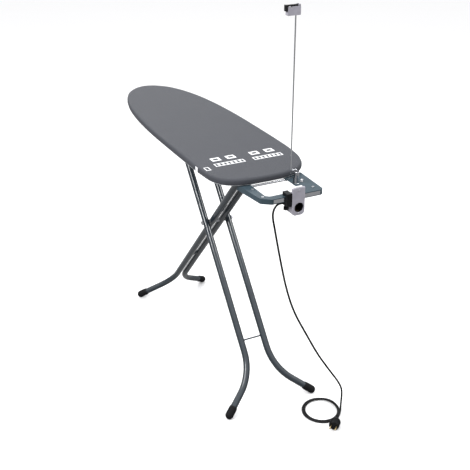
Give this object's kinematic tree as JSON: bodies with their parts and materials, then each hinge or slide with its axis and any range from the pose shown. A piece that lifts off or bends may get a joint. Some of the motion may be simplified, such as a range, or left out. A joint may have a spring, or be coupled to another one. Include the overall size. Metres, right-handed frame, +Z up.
{
  "type": "ironing board",
  "caption": "Folding ironing board with padded cover, scissor legs, height lever, iron rest with socket outlet and lead, and a lead mast.",
  "frame": {"origin": "on the floor, midway between the nose tip and the face of the socket outlet", "axes": "+X along the board from nose to heel, +Y across the board, +Z up"},
  "size_m": [1.4501, 0.4203, 1.47],
  "materials": {
    "cover_cloth": "matte",
    "pad_foam": "matte",
    "deck_steel": "satin",
    "frame_paint": "gloss",
    "tray_paint": "satin",
    "bright_steel": "polished",
    "zinc_steel": "satin",
    "foot_rubber": "matte",
    "black_plastic": "matte",
    "housing_plastic": "satin",
    "pale_plastic": "gloss",
    "brass_contact": "satin",
    "lead_pvc": "satin"
  },
  "bodies": {
    "table": {"cord_gland": "black_plastic", "cord_hooks": "frame_paint", "cover": "cover_cloth", "deck": "deck_steel", "earth_clips": "brass_contact", "heel_axle": "zinc_steel", "heel_bracket": "frame_paint", "lead": "lead_pvc", "lead_coil": "lead_pvc", "lead_tail": "lead_pvc", "lever_bracket": "zinc_steel", "lever_pin": "zinc_steel", "lock_housing": "black_plastic", "mast_bush": "bright_steel", "pad": "pad_foam", "plug": "black_plastic", "plug_pins": "brass_contact", "rail_left": "zinc_steel", "rail_right": "zinc_steel", "socket_body": "housing_plastic", "socket_clamp": "black_plastic", "socket_insert": "black_plastic", "socket_plate": "housing_plastic", "stiffeners": "zinc_steel", "tray": "tray_paint", "tray_arm_left": "tray_paint", "tray_arm_right": "tray_paint", "tray_bar": "bright_steel", "tray_peg": "pale_plastic", "tray_rivets": "zinc_steel", "tray_trim": "bright_steel"},
    "inner_legs": {"inner_foot_cap_left": "foot_rubber", "inner_foot_cap_right": "foot_rubber", "inner_leg_left": "frame_paint", "inner_leg_right": "frame_paint", "inner_lug_left": "frame_paint", "inner_lug_right": "frame_paint", "inner_tie": "frame_paint", "scissor_bolt": "zinc_steel", "scissor_nut": "zinc_steel", "scissor_spacer": "zinc_steel", "scissor_washers": "zinc_steel"},
    "outer_legs": {"outer_brace": "frame_paint", "outer_foot_cap_left": "foot_rubber", "outer_foot_cap_right": "foot_rubber", "outer_leg_left": "frame_paint", "outer_leg_right": "frame_paint", "outer_lug_left": "frame_paint", "outer_lug_right": "frame_paint", "top_axle": "zinc_steel", "roller_left": "black_plastic", "roller_right": "black_plastic"},
    "lever": {"lever": "black_plastic"},
    "pawl": {"pawl": "zinc_steel"},
    "mast": {"mast": "bright_steel", "mast_collar": "bright_steel", "clip_body": "housing_plastic", "clip_pin": "bright_steel"},
    "clip_jaw": {"clip_jaw": "black_plastic"},
    "clamp_screw": {"clamp_screw": "black_plastic"}
  },
  "joints": [
    {"name": "inner_fold", "type": "hinge", "parent": "table", "child": "inner_legs", "pos_m": [0.3455, 0, 0.868], "axis": [0, 1, 0], "range_deg": [-4.8, 45.5]},
    {"name": "outer_fold", "type": "hinge", "parent": "inner_legs", "child": "outer_legs", "pos_m": [0.089, 0, 0.5715], "axis": [0, 1, 0], "range_deg": [-91.2, 9.8]},
    {"name": "lever_squeeze", "type": "hinge", "parent": "table", "child": "lever", "pos_m": [-0.1675, 0.14, 0.882], "axis": [1, 0, 0], "range_deg": [0, 12], "stiffness_Nm_per_rad": 0.6, "springref_deg": -6.88},
    {"name": "pawl_slide", "type": "slide", "parent": "table", "child": "pawl", "axis": [0, 1, 0], "range_m": [0, 0.003]},
    {"name": "mast_swivel", "type": "hinge", "parent": "table", "child": "mast", "pos_m": [0.561, 0.069, 0.898], "axis": [0, 0, 1], "range_deg": [-90, 90]},
    {"name": "clip_open", "type": "hinge", "parent": "mast", "child": "clip_jaw", "pos_m": [0.561, 0.054, 1.467], "axis": [-1, 0, 0], "range_deg": [0, 60]},
    {"name": "clamp_turn", "type": "hinge", "parent": "table", "child": "clamp_screw", "pos_m": [0.628, -0.009, 0.864], "axis": [0, 0, 1], "continuous": true}
  ],
  "couplings": [
    {"joint": "outer_fold", "follows": "inner_fold", "ratio": -2},
    {"joint": "pawl_slide", "follows": "lever_squeeze", "m_per_rad": 0.014}
  ]
}
